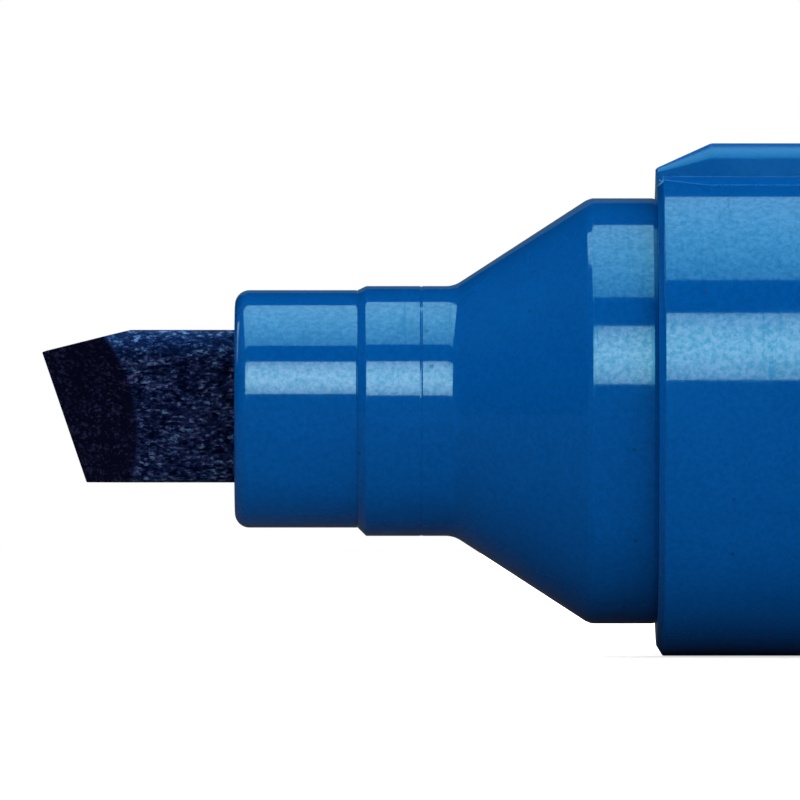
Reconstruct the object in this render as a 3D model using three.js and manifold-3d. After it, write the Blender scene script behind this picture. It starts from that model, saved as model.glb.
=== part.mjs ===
// A chisel-tip permanent marker with its cap posted on the rear end, in millimetres.
// The marker lies on a flat surface, nib towards -X, anti-roll rib on top (+Z).
// Pieces are drawn about the X axis with x = 0 at the barrel's front face, and the group at the end
// moves them so that the origin is under the middle of the marker, on the surface.
import * as THREE from "three";
import { mergeVertices } from "three/addons/utils/BufferGeometryUtils.js";
import Module from "manifold-3d";

const wasm = await Module();
wasm.setup();

// Nib: a slab of pressed felt with rounded edges, ground to a slanted chisel edge
const NIB_WIDTH = 5.03;
const NIB_THICKNESS = 3.0;
const NIB_CORNER = 0.5;
const NIB_REACH = 6.37; // how far the tip stands out of its sleeve
const NIB_SLANT = 1.475; // how far the lower end of the edge lies behind the tip
const NIB_HEEL_LENGTH = 2.94; // relief ground along the top, behind the tip
const NIB_HEEL_DEPTH = 0.72;
const NIB_BEVEL_LENGTH = 2.15; // each bevel, along the axis
const NIB_EDGE_THICKNESS = 0.2;
const NIB_SOAK = 6.0; // how far the tail reaches into the ink reservoir
const NIB_TAIL_TAPER = 2.5;
const NIB_TAIL_FLAT = 1.6; // half width left at the tail's end

// Sleeve: the small front cylinder that grips the nib
const SLEEVE_WALL = 0.99; // from the nib's corner to the outside
const SLEEVE_LENGTH = 4.05;
const SLEEVE_EDGE = 0.45;
const SLEEVE_STOP = 0.35; // step that lands on the front section
const SLEEVE_TAIL = 4.4;
const VENT_WIDTH = 0.8; // air groove on each flat of the nib
const VENT_DEPTH = 0.45;

// Front section: sealing land, cone, cap seat and the skirt pushed into the barrel
const LAND_STEP = 0.205; // the land's radius over the sleeve's
const LAND_LENGTH = 3.21;
const LAND_CHAMFER = 0.26;
const CONE_LENGTH = 4.355;
const SEAT_LENGTH = 2.28;
const SEAT_STOP = 0.145; // the seat's radius over the barrel's bore
const SEAT_ROUND = 0.2;
const SKIRT_LENGTH = 9.0;
const SKIRT_WALL = 1.08;
const SKIRT_LEAD = 0.4;
const CONE_WALL = 1.45; // cone's wall, along the axis

// Barrel
const BARREL_RADIUS = 8.075;
const BARREL_WALL = 1.2;
const BARREL_LENGTH = 82.0;
const BARREL_EDGE = 0.4;
const RIB_WIDTH = 4.72;
const RIB_HEIGHT = 0.755;
const RIB_RAMP = 1.85;
const RIB_RAMP_SINK = 0.115; // how far under the barrel's top the ramp starts
const RIB_ROOT = 0.7; // how deep the rib is rooted in the wall
const CENTRING_RIBS = 6;
const CENTRING_RIB_WIDTH = 0.8;
const CENTRING_RIB_HEIGHT = 0.325;

// Ink reservoir: a fibre bundle in a film wrap
const WRAP_THICKNESS = 0.2;
const WRAP_OVERHANG = 0.2;

// Rear plug: closes the barrel and carries the posted cap
const PLUG_SKIRT = 8.0;
const STUB_LAND = 4.8;
const STUB_ROUND = 0.6;
const STUB_WALL = 1.15;

// Cap: outer shell with six anti-roll flats, and the liner that seals on the land
const CAP_COLLAR = 3.5;
const CAP_FLARE = 1.5;
const CAP_BULGE = 0.65; // the corners' radius over the barrel's
const CAP_END_WALL = 1.45;
const CAP_END_ROUND = 1.4;
const CAP_MOUTH_ROUND = 0.3;
const CAP_RECESS_RADIUS = 4.6;
const CAP_RECESS_DEPTH = 0.4;
const CAP_FLATS = 6;
const CAP_VENTS = 3;
const CAP_VENT_RADIUS = 0.75;
const CAP_BOSS_LENGTH = 4.0;
const CAP_BOSS_WALL = 1.0;
const LINER_WALL = 0.75;
const LINER_RELIEF = 0.24;
const LINER_SEAL_LENGTH = 2.1;
const LINER_LEAD = 0.3;
const LINER_MEMBRANE = 0.8;
const TIP_CLEARANCE = 1.2; // air in front of the nib when the cap is on the front

// Fits and seams
const NIB_FIT = 0.06;
const SLEEVE_FIT = 0.12;
const SLEEVE_LIFT = 0.07; // the sleeve sits high in its bore by this much
const NIB_LIFT = 0.16; // and the nib by this much
const PRESS_GAP = 0.045;
const SEAL_FIT = 0.03;
const CAP_FIT = 0.08;
const CAP_GAP = 0.1;
const SEAM = 0.05;
const REST_GAP = 0.3;
const RESERVOIR_FIT = 0.1;

const SIDES = 48;
const HOLE_SIDES = 12;
const ARC_STEPS = 3;
const OVERRUN = 1; // how far a cutter runs past what it cuts
const WELD = 1e-4; // corners closer than this are one

// Places along the axis
const seatFront = -SEAT_LENGTH;
const landBack = seatFront - CONE_LENGTH;
const landFront = landBack - LAND_LENGTH;
const sleeveFront = landFront - SLEEVE_LENGTH;
const tip = sleeveFront - NIB_REACH;
const reservoirFront = SKIRT_LENGTH + REST_GAP + WRAP_OVERHANG;
const nibTail = reservoirFront + NIB_SOAK;
const plugFront = BARREL_LENGTH - PLUG_SKIRT;
const reservoirBack = plugFront - REST_GAP - WRAP_OVERHANG;
const stubEnd = BARREL_LENGTH + SEAT_LENGTH + CONE_LENGTH + STUB_LAND;
const capMouth = BARREL_LENGTH + CAP_GAP;
const membraneFront = capMouth - tip + TIP_CLEARANCE;
const bossFront = membraneFront + LINER_MEMBRANE + REST_GAP;
const capInnerEnd = bossFront + CAP_BOSS_LENGTH;
const capEnd = capInnerEnd + CAP_END_WALL;

// Radii that follow from the pieces inside
const sleeveRadius = Math.hypot(NIB_WIDTH, NIB_THICKNESS) / 2 + SLEEVE_WALL;
const sleeveTailRadius = sleeveRadius - SLEEVE_STOP;
const sleeveBore = sleeveTailRadius + SLEEVE_FIT;
const landRadius = sleeveRadius + LAND_STEP;
const boreRadius = BARREL_RADIUS - BARREL_WALL;
const seatRadius = boreRadius + SEAT_STOP;
const skirtRadius = boreRadius - PRESS_GAP;
const skirtBore = skirtRadius - SKIRT_WALL;
const centringRadius = boreRadius - CENTRING_RIB_HEIGHT;
const wrapRadius = centringRadius - RESERVOIR_FIT;
const wrapBore = wrapRadius - WRAP_THICKNESS;
const coreRadius = wrapBore - PRESS_GAP;
const capBore = seatRadius + CAP_FIT;
const capRadius = BARREL_RADIUS + CAP_BULGE;
const sealRadius = landRadius + SEAL_FIT;
const linerBore = sealRadius + LINER_RELIEF;
const linerRadius = linerBore + LINER_WALL;
const bossRadius = linerBore - PRESS_GAP;

const bluePlastic = { color: 0x004b91, roughness: 0.18, metalness: 0 };
const inkedFelt = { color: 0x0d1230, roughness: 0.9, metalness: 0 };
const inkedFibre = { color: 0x141c52, roughness: 0.95, metalness: 0 };
const clearFilm = { color: 0xcfd8e2, roughness: 0.25, metalness: 0 };
const naturalPlastic = { color: 0xe6e9ec, roughness: 0.4, metalness: 0 };

// Points of the arc that rounds the corner b between a and c.
function roundedCorner(a, b, c, radius) {
  const back = a.clone().sub(b).normalize();
  const on = c.clone().sub(b).normalize();
  const half = Math.acos(THREE.MathUtils.clamp(back.dot(on), -1, 1)) / 2;
  const start = b.clone().addScaledVector(back, radius / Math.tan(half));
  const middle = back.clone().add(on).normalize().multiplyScalar(radius / Math.sin(half)).add(b);
  const spoke = start.clone().sub(middle);
  const sweep = (Math.PI - 2 * half) * Math.sign(back.cross(on));
  return Array.from({ length: ARC_STEPS + 1 }, (_, i) =>
    spoke.clone().rotateAround(new THREE.Vector2(), (-sweep * i) / ARC_STEPS).add(middle),
  );
}

// An outline of [x, radius, rounding] corners as points. A corner with no rounding stays sharp.
function outline(corners) {
  const points = corners.map(([x, r]) => new THREE.Vector2(x, r));
  return corners.flatMap(([, , rounding], i) => {
    if (!rounding) return [points[i]];
    return roundedCorner(points.at(i - 1), points[i], points[(i + 1) % points.length], rounding);
  });
}

// Turns an outline about the X axis. It runs from the axis to the axis, or round a ring's section.
function turned(corners) {
  const section = outline(corners);
  if (!THREE.ShapeUtils.isClockWise(section)) section.reverse();
  if (section[0].y > 0) section.push(section[0].clone());
  const points = section.map(({ x, y }) => new THREE.Vector2(y, x));
  return new THREE.LatheGeometry(points, SIDES).rotateZ(-Math.PI / 2);
}

// A rectangle with rounded corners, width across and height up, about the origin.
function roundedRectangle(width, height, corner) {
  const shape = new THREE.Shape();
  const [x, y] = [width / 2 - corner, height / 2 - corner];
  shape.absarc(x, y, corner, 0, Math.PI / 2);
  shape.absarc(-x, y, corner, Math.PI / 2, Math.PI);
  shape.absarc(-x, -y, corner, Math.PI, Math.PI * 1.5);
  shape.absarc(x, -y, corner, Math.PI * 1.5, Math.PI * 2);
  return shape;
}

// Extrudes a shape along X. Its width becomes Z and its height Y.
function alongX(shape, from, to) {
  const options = { depth: to - from, bevelEnabled: false, curveSegments: ARC_STEPS };
  return new THREE.ExtrudeGeometry(shape, options).rotateY(Math.PI / 2).translate(from, 0, 0);
}

// Extrudes a side view, drawn as x and z, to both sides of the XZ plane.
function acrossY(corners, width) {
  const shape = new THREE.Shape(corners.map(([x, z]) => new THREE.Vector2(x, z)));
  return new THREE.ExtrudeGeometry(shape, { depth: width, bevelEnabled: false })
    .translate(0, 0, -width / 2)
    .rotateX(Math.PI / 2);
}

function boxBetween([x0, y0, z0], [x1, y1, z1]) {
  return new THREE.BoxGeometry(x1 - x0, y1 - y0, z1 - z0).translate(
    (x0 + x1) / 2,
    (y0 + y1) / 2,
    (z0 + z1) / 2,
  );
}

// A geometry as a solid that can be cut and joined.
function solid(geometry) {
  const bare = geometry.clone();
  for (const name of Object.keys(bare.attributes)) {
    if (name !== "position") bare.deleteAttribute(name);
  }
  const merged = mergeVertices(bare, WELD);
  return new wasm.Manifold(
    new wasm.Mesh({
      numProp: 3,
      vertProperties: merged.attributes.position.array,
      triVerts: new Uint32Array(merged.index.array),
    }),
  );
}

function geometryOf(made) {
  const { vertProperties, triVerts } = made.getMesh();
  const geometry = new THREE.BufferGeometry();
  geometry.setAttribute("position", new THREE.BufferAttribute(vertProperties, 3));
  geometry.setIndex(new THREE.BufferAttribute(triVerts, 1));
  geometry.computeVertexNormals();
  return geometry;
}

const marker = new THREE.Group();

function add(name, geometry, finish) {
  const mesh = new THREE.Mesh(geometry, new THREE.MeshStandardMaterial(finish));
  mesh.name = name;
  marker.add(mesh);
  return mesh;
}

// The nib's section, grown by a clearance.
function nibSection(clearance = 0) {
  const corner = NIB_CORNER + clearance;
  return roundedRectangle(NIB_WIDTH + 2 * clearance, NIB_THICKNESS + 2 * clearance, corner);
}

// The nib is its slab, cut to its side view and to the wedge of the two bevels.
function nib() {
  const half = NIB_WIDTH / 2;
  const tipHeight = half - NIB_HEEL_DEPTH;
  const edgeDrop = tipHeight + half;
  const heelSlope = NIB_HEEL_DEPTH / NIB_HEEL_LENGTH;
  const edgeSlope = NIB_SLANT / edgeDrop;
  const sideView = [
    [tip, tipHeight],
    [tip + edgeSlope * (edgeDrop + OVERRUN), -half - OVERRUN],
    [nibTail - NIB_TAIL_TAPER, -half - OVERRUN],
    [nibTail - NIB_TAIL_TAPER, -half],
    [nibTail, -NIB_TAIL_FLAT],
    [nibTail, NIB_TAIL_FLAT],
    [nibTail - NIB_TAIL_TAPER, half],
    [nibTail - NIB_TAIL_TAPER, half + OVERRUN],
    [tip + (NIB_HEEL_DEPTH + OVERRUN) / heelSlope, half + OVERRUN],
  ];
  const slant = Math.atan(edgeSlope);
  const bevelRun = NIB_BEVEL_LENGTH * Math.cos(slant);
  const edgeHalf = NIB_EDGE_THICKNESS / 2;
  const bevelSlope = (NIB_THICKNESS / 2 - edgeHalf) / bevelRun;
  const run = 2 * (nibTail - tip);
  const wedgeHalf = edgeHalf + bevelSlope * run;
  const wedge = new THREE.Shape([
    new THREE.Vector2(0, -edgeHalf),
    new THREE.Vector2(run, -wedgeHalf),
    new THREE.Vector2(run, wedgeHalf),
    new THREE.Vector2(0, edgeHalf),
  ]);
  const wedgeHeight = 2 * run;
  const wedgeBody = new THREE.ExtrudeGeometry(wedge, { depth: wedgeHeight, bevelEnabled: false })
    .translate(0, 0, -wedgeHeight / 2)
    .rotateY(-slant)
    .translate(tip, 0, tipHeight);
  const slab = solid(alongX(nibSection(), tip - OVERRUN, nibTail + OVERRUN));
  const profile = solid(acrossY(sideView, 2 * NIB_THICKNESS));
  return slab.intersect(profile).intersect(solid(wedgeBody));
}

// Sleeve: two diameters turned, with the nib's slot and an air groove on each side of it.
function sleeve() {
  const back = landFront - SEAM;
  const tailEnd = back + SLEEVE_TAIL;
  const body = solid(
    turned([
      [sleeveFront, 0],
      [sleeveFront, sleeveRadius, SLEEVE_EDGE],
      [back, sleeveRadius],
      [back, sleeveTailRadius],
      [tailEnd - SLEEVE_STOP, sleeveTailRadius],
      [tailEnd, sleeveTailRadius - SLEEVE_STOP / 2],
      [tailEnd, 0],
    ]),
  );
  const rise = NIB_LIFT - SLEEVE_LIFT;
  const slot = alongX(nibSection(NIB_FIT), sleeveFront - OVERRUN, tailEnd + OVERRUN).translate(0, 0, rise);
  const reach = NIB_THICKNESS / 2 + NIB_FIT + VENT_DEPTH;
  const vents = boxBetween(
    [sleeveFront - OVERRUN, -reach, rise - VENT_WIDTH / 2],
    [tailEnd + OVERRUN, reach, rise + VENT_WIDTH / 2],
  );
  return body.subtract(solid(slot)).subtract(solid(vents));
}

// Front section, from the skirt inside the barrel to the land, with one wall thickness throughout.
function frontSection() {
  return turned([
    [SKIRT_LENGTH, skirtBore],
    [-SEAM - CONE_WALL, skirtBore],
    [landBack + CONE_WALL, sleeveBore],
    [landFront, sleeveBore],
    [landFront, landRadius - LAND_CHAMFER],
    [landFront + LAND_CHAMFER, landRadius],
    [landBack, landRadius],
    [seatFront, seatRadius, SEAT_ROUND],
    [-SEAM, seatRadius],
    [-SEAM, skirtRadius],
    [SKIRT_LENGTH - SKIRT_LEAD, skirtRadius],
    [SKIRT_LENGTH, skirtRadius - SKIRT_LEAD / 2],
  ]);
}

// Barrel: a turned tube, the anti-roll rib along its top and the ribs that centre the reservoir.
function barrel() {
  let body = solid(
    turned([
      [0, boreRadius],
      [0, BARREL_RADIUS, BARREL_EDGE],
      [BARREL_LENGTH, BARREL_RADIUS, BARREL_EDGE],
      [BARREL_LENGTH, boreRadius],
    ]),
  );
  const root = BARREL_RADIUS - RIB_ROOT;
  const rampFoot = BARREL_RADIUS - RIB_RAMP_SINK;
  const top = BARREL_RADIUS + RIB_HEIGHT;
  const ribRing = turned([
    [SEAM, root],
    [SEAM, rampFoot],
    [RIB_RAMP, top],
    [BARREL_LENGTH - RIB_RAMP, top],
    [BARREL_LENGTH - SEAM, rampFoot],
    [BARREL_LENGTH - SEAM, root],
  ]);
  const ribSlot = boxBetween([0, -RIB_WIDTH / 2, 0], [BARREL_LENGTH, RIB_WIDTH / 2, 2 * top]);
  body = body.add(solid(ribRing).intersect(solid(ribSlot)));
  const centringRib = boxBetween(
    [SKIRT_LENGTH + REST_GAP, -CENTRING_RIB_WIDTH / 2, centringRadius],
    [plugFront - REST_GAP, CENTRING_RIB_WIDTH / 2, boreRadius + BARREL_WALL / 2],
  );
  for (let i = 0; i < CENTRING_RIBS; i += 1) {
    const turn = ((i + 0.5) * 2 * Math.PI) / CENTRING_RIBS;
    body = body.add(solid(centringRib.clone().rotateX(turn)));
  }
  return body;
}

// The fibre bundle, with the pocket that the nib's tail makes in it.
function reservoirCore() {
  const bundle = turned([
    [reservoirBack, 0],
    [reservoirBack, coreRadius],
    [reservoirFront, coreRadius],
    [reservoirFront, 0],
  ]);
  const pocket = alongX(nibSection(NIB_FIT), reservoirFront - OVERRUN, nibTail + REST_GAP);
  return solid(bundle).subtract(solid(pocket.translate(0, 0, NIB_LIFT)));
}

function reservoirWrap() {
  const front = reservoirFront - WRAP_OVERHANG;
  const back = reservoirBack + WRAP_OVERHANG;
  return turned([
    [front, wrapBore],
    [front, wrapRadius],
    [back, wrapRadius],
    [back, wrapBore],
  ]);
}

// Rear plug: the same seat, cone and land as the front, so that the cap fits either end.
function rearPlug() {
  const seatBack = BARREL_LENGTH + SEAT_LENGTH;
  const landStart = seatBack + CONE_LENGTH;
  const face = BARREL_LENGTH + SEAM;
  return turned([
    [stubEnd - STUB_WALL, 0],
    [stubEnd - STUB_WALL, landRadius - STUB_WALL],
    [landStart - STUB_WALL / 2, landRadius - STUB_WALL],
    [face + STUB_WALL, skirtBore],
    [plugFront, skirtBore],
    [plugFront, skirtRadius - SKIRT_LEAD / 2],
    [plugFront + SKIRT_LEAD, skirtRadius],
    [face, skirtRadius],
    [face, seatRadius],
    [seatBack, seatRadius, SEAT_ROUND],
    [landStart, landRadius],
    [stubEnd, landRadius, STUB_ROUND],
    [stubEnd, 0],
  ]);
}

// Cap shell: turned, then six flats level with the barrel and the air holes in its end.
function capShell() {
  const bodyStart = capMouth + CAP_COLLAR + CAP_FLARE;
  let body = solid(
    turned([
      [capInnerEnd, 0],
      [capInnerEnd, bossRadius - CAP_BOSS_WALL],
      [bossFront, bossRadius - CAP_BOSS_WALL],
      [bossFront, bossRadius],
      [capInnerEnd, bossRadius],
      [capInnerEnd, capBore],
      [capMouth + CAP_MOUTH_ROUND, capBore],
      [capMouth, capBore + CAP_MOUTH_ROUND],
      [capMouth, BARREL_RADIUS, CAP_MOUTH_ROUND],
      [capMouth + CAP_COLLAR, BARREL_RADIUS],
      [bodyStart, capRadius],
      [capEnd, capRadius, CAP_END_ROUND],
      [capEnd, CAP_RECESS_RADIUS + CAP_RECESS_DEPTH],
      [capEnd - CAP_RECESS_DEPTH, CAP_RECESS_RADIUS],
      [capEnd - CAP_RECESS_DEPTH, 0],
    ]),
  );
  const flatCutter = boxBetween(
    [capMouth + CAP_COLLAR - OVERRUN, -capRadius, BARREL_RADIUS],
    [capEnd + OVERRUN, capRadius, 2 * capRadius],
  );
  for (let i = 0; i < CAP_FLATS; i += 1) {
    const turn = (i * 2 * Math.PI) / CAP_FLATS;
    body = body.subtract(solid(flatCutter.clone().rotateX(turn)));
  }
  const ventCentre = (linerRadius + capBore) / 2;
  const ventLength = 2 * (CAP_END_WALL + OVERRUN);
  const vent = new THREE.CylinderGeometry(CAP_VENT_RADIUS, CAP_VENT_RADIUS, ventLength, HOLE_SIDES)
    .rotateZ(Math.PI / 2)
    .translate(capEnd, 0, ventCentre);
  for (let i = 0; i < CAP_VENTS; i += 1) {
    const turn = (i * 2 * Math.PI) / CAP_VENTS;
    body = body.subtract(solid(vent.clone().rotateX(turn)));
  }
  return body;
}

// Cap liner: a cup that seals on the land, and behind its membrane a skirt over the shell's boss.
function capLiner() {
  const mouth = capMouth + SEAT_LENGTH + CONE_LENGTH + REST_GAP;
  const sealEnd = mouth + LINER_LEAD + LINER_SEAL_LENGTH;
  const back = capInnerEnd - SEAM;
  return turned([
    [membraneFront, 0],
    [membraneFront, linerBore],
    [sealEnd + LINER_RELIEF, linerBore],
    [sealEnd, sealRadius],
    [mouth + LINER_LEAD, sealRadius],
    [mouth, sealRadius + LINER_LEAD],
    [mouth, linerRadius],
    [back, linerRadius],
    [back, linerBore],
    [membraneFront + LINER_MEMBRANE, linerBore],
    [membraneFront + LINER_MEMBRANE, 0],
  ]);
}

add("nib", geometryOf(nib()), inkedFelt).position.z = NIB_LIFT;
add("nib_sleeve", geometryOf(sleeve()), bluePlastic).position.z = SLEEVE_LIFT;
add("front_section", frontSection(), bluePlastic);
add("barrel", geometryOf(barrel()), bluePlastic);
add("ink_reservoir", geometryOf(reservoirCore()), inkedFibre);
add("reservoir_wrap", reservoirWrap(), clearFilm);
add("rear_plug", rearPlug(), bluePlastic);
add("cap_shell", geometryOf(capShell()), bluePlastic);
add("cap_liner", capLiner(), naturalPlastic);

// The origin is under the middle of the whole length, on the surface that the marker lies on.
marker.position.set(-(tip + capEnd) / 2, 0, BARREL_RADIUS);

export default marker;
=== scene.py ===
"""A blue permanent marker lying on its side, chisel nib to the left and its cap posted behind.

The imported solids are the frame. Each part that shows gets a finer surface in its place, worked out
with numpy from its profile. The parts shut inside the barrel keep their solids. Lengths are metres,
X runs from the nib to the cap, and an angle round the axis is measured from straight up towards +Y.
"""

import math

import bmesh
import bpy
import numpy as np
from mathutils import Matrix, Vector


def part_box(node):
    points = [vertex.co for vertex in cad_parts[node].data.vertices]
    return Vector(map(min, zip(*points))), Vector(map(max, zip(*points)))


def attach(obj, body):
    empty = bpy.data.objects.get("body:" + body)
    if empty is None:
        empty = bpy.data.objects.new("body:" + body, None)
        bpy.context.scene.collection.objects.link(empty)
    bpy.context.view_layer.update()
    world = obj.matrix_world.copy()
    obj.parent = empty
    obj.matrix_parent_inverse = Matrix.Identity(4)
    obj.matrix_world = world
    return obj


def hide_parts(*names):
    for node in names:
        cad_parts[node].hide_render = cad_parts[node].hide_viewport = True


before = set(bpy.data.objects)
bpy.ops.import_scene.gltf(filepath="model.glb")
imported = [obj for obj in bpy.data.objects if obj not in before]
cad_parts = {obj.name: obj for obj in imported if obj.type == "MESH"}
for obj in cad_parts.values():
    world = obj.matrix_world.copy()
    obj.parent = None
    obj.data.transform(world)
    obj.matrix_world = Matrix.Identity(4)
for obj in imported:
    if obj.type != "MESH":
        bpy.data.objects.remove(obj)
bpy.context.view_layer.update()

MM = 0.001
TURN = 2 * math.pi

# Places and radii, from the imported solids
barrel_low, barrel_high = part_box("barrel")
section_low, section_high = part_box("front_section")
sleeve_low, sleeve_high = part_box("nib_sleeve")
nib_low, nib_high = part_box("nib")
plug_low, plug_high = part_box("rear_plug")
cap_low, cap_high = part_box("cap_shell")
liner_low, liner_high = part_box("cap_liner")

AXIS_Z = (section_low.z + section_high.z) / 2
SHOULDER = barrel_low.x
BARREL_REAR = barrel_high.x
BARREL_RADIUS = AXIS_Z - barrel_low.z
RIB_RADIUS = barrel_high.z - AXIS_Z
SKIRT_END = section_high.x
LAND_FRONT = section_low.x
SEAT_RADIUS = (section_high.y - section_low.y) / 2
SLEEVE_FRONT = sleeve_low.x
SLEEVE_END = sleeve_high.x
SLEEVE_RADIUS = (sleeve_high.y - sleeve_low.y) / 2
SLEEVE_Z = (sleeve_low.z + sleeve_high.z) / 2
NIB_TIP = nib_low.x
NIB_TAIL = nib_high.x
NIB_HALF_THICKNESS = (nib_high.y - nib_low.y) / 2
PLUG_FRONT = plug_low.x
STUB_END = plug_high.x
CAP_MOUTH = cap_low.x
CAP_END = cap_high.x
CAP_RADIUS = cap_high.y
CAP_APOTHEM = AXIS_Z - cap_low.z
LINER_MOUTH = liner_low.x
LINER_END = liner_high.x
LINER_RADIUS = (liner_high.y - liner_low.y) / 2

# Roundings that several outlines share
FINE_ROUND = 0.03 * MM
TURNED_ROUND = FINE_ROUND / 2
SHARP_ROUND = FINE_ROUND / 8
LIP_ROUND = 0.04 * MM
EDGE_ROUND = 0.1 * MM
SOFT_ROUND = 0.2 * MM
ROOT_ROUND = 0.3 * MM

# Nib
NIB_HALF_WIDTH = 2.515 * MM
NIB_Z = nib_low.z + NIB_HALF_WIDTH
NIB_CORNER = 0.5 * MM
NIB_SLANT = 1.475 * MM
NIB_HEEL_LENGTH = 2.94 * MM
NIB_HEEL_DEPTH = 0.72 * MM
NIB_HEEL_BLEND = 0.12 * MM
NIB_EDGE_TOP = NIB_Z + NIB_HALF_WIDTH - NIB_HEEL_DEPTH
NIB_EDGE_THICKNESS = 0.2 * MM
NIB_EDGE_BLEND = 0.06 * MM
NIB_LIP = 0.07 * MM  # rounding between the ground faces and the slab's sides
NIB_BEVEL_LENGTH = 2.4 * MM  # at its longest, above the nib's middle
NIB_BEVEL_CAMBER = 95.0  # per metre, how fast the bevel shortens away from there
NIB_BEVEL_HEIGHT = 0.8 * MM
NIB_TAIL_TAPER = 2.5 * MM
NIB_TAIL_FLAT = 1.6 * MM
# Heights over the nib's middle between which the painted highlight along the nib's top rises to full:
# light from above painted into the felt
NIB_TOP_LIGHT_START = NIB_HALF_WIDTH - 1.1 * MM  # over the nib's middle
NIB_TOP_LIGHT_FULL = NIB_HALF_WIDTH - 0.2 * MM
NIB_FADE_START = -0.12 * MM  # behind the bevels' end, where the ground mask falls to 0
NIB_FADE_END = 0.3 * MM

# Sleeve round the nib
NIB_FIT = 0.06 * MM
SLEEVE_EDGE = 0.48 * MM
SLEEVE_STOP = 0.35 * MM
SLEEVE_EASE_LENGTH = 0.045 * MM  # fine bevel where the sleeve meets the land
SLEEVE_EASE_DEPTH = 0.012 * MM
STEP_ROUND = 0.004 * MM
SLEEVE_TAIL_ROUND = 0.05 * MM
FACE_RIM = 0.05 * MM  # flat ring kept inside a face's rounding
VENT_HALF_WIDTH = 0.4 * MM
VENT_DEPTH = 0.45 * MM
VENT_ROUND = 0.08 * MM
VENT_BLEND = 0.06 * MM
SLOT_MOUTH_ROUND = 0.09 * MM
SLOT_MOUTH_REACH = 0.9 * MM  # width of the front face at which that is a quarter circle

# Front section
LAND_RADIUS = 4.123 * MM
LAND_LENGTH = 3.21 * MM
LAND_CHAMFER = 0.28 * MM
LAND_LINE = 2.1 * MM  # fine turned line, from the land's front
LAND_LINE_HALF = 0.047 * MM
LAND_LINE_DEPTH = 0.02 * MM
CONE_LENGTH = 4.355 * MM
CONE_WALL = 1.45 * MM
CONE_EASE = 0.04 * MM  # how far the cone starts ahead of its place in the solids
CONE_FOOT_ROUND = 0.9 * MM
SEAT_LENGTH = 2.28 * MM
SEAT_LEAD_LENGTH = 0.2 * MM
SEAT_LEAD_DEPTH = 0.075 * MM
SEAT_FRONT_ROUND = 0.25 * MM
SEAT_REAR_LENGTH = 0.13 * MM
SEAT_REAR_DEPTH = 0.035 * MM
SEAT_REAR_ROUND = 0.08 * MM
SEAM = 0.004 * MM  # parts pressed together show no gap
SKIRT_RADIUS = 6.83 * MM
SKIRT_BORE = 5.75 * MM
SKIRT_LEAD = 0.4 * MM
SLEEVE_BORE = 3.688 * MM

# Barrel
BARREL_BORE = 6.875 * MM
BARREL_CHAMFER_LENGTH = 0.21 * MM
BARREL_CHAMFER_DEPTH = 0.33 * MM
BARREL_FACE_ROUND = 0.08 * MM
BARREL_SIDE_ROUND = 0.07 * MM
RIB_HALF_WIDTH = 2.36 * MM
RIB_RAMP = 1.79 * MM
RIB_FOOT_RADIUS = 8.005 * MM
RIB_TOP_RADIUS = RIB_RADIUS - 0.015 * MM
RIB_FRONT = 0.012 * MM
RIB_DROP = 0.6 * MM  # at either end of the barrel, down into its end face
RIB_BEND = 0.4 * MM  # rounding between ramp and crown
RIB_EDGE = 0.5 * MM  # rounding along the rib's upper edges
RIB_EDGE_LOW = 0.16 * MM  # and where the ramps start
RIB_SLANT = math.radians(30)  # where that rounding ends, in a crease above the side
RIB_DRAFT = math.radians(5.9)
RIB_ROWS = 0.06 * MM  # rows along the ramps, close enough for the slanting edges
RIB_ROWS_PAST = 0.5 * MM  # how far they go on past a ramp
RIB_COLUMN_SPREAD = 0.12  # how far, in radians, the columns that follow a crease reach inwards
RIB_CREASE_GAP = 0.003  # least angle, in radians, between that crease and the rib's foot
SATIN_START = -0.01 * MM  # height over the creases, and over the barrel, where satin begins
SATIN_FULL = 0.03 * MM
CENTRING_RIBS = 6
CENTRING_RIB_HALF = 0.4 * MM
CENTRING_RIB_RADIUS = 6.55 * MM
CENTRING_RIB_END = 0.3 * MM  # from each end of the room between the skirts
CENTRING_RIB_RISE = 0.02 * MM  # length in which a centring rib rises from the bore
CENTRING_RIB_REACH = 0.07  # angle to either side, in radians, that has closer columns
BORE_END = 0.1 * MM  # from either end face to the bore's last row

# Rear plug
STUB_WALL = 1.15 * MM
STUB_ROUND = 0.6 * MM

# Cap
CAP_BORE = 7.1 * MM
CAP_COLLAR = 3.5 * MM
CAP_FLARE = 1.5 * MM
CAP_FLARE_ROUND = 0.9 * MM
CAP_INNER_ROUND = 0.15 * MM
CAP_MOUTH_ROUND = 0.3 * MM
CAP_END_WALL = 1.45 * MM
CAP_END_ROUND = 1.4 * MM
CAP_RECESS_RADIUS = 4.6 * MM
CAP_RECESS_DEPTH = 0.4 * MM
CAP_RECESS_ROUND = 0.12 * MM
CAP_FLATS = 6
CAP_FLAT_SOFTNESS = 0.14 * MM
CAP_FLATS_AHEAD = 0.2 * MM  # how far before the flare the flats may start
CAP_CORNER_REACH = 0.045  # angle to either side of a flat's edge, in radians, with closer columns
CAP_VENTS = 3
CAP_VENT_RADIUS = 0.75 * MM
CAP_VENT_EDGE = 0.12 * MM
BOSS_RADIUS = 4.348 * MM
BOSS_BORE = 3.348 * MM
BOSS_LENGTH = 4.0 * MM
LINER_BORE = 4.393 * MM
LINER_SEAL_RADIUS = 4.153 * MM
LINER_LEAD = 0.3 * MM
LINER_SEAL_LENGTH = 2.1 * MM
LINER_MEMBRANE = 0.8 * MM
MEMBRANE_FRONT = 103.565 * MM + SHOULDER

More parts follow.
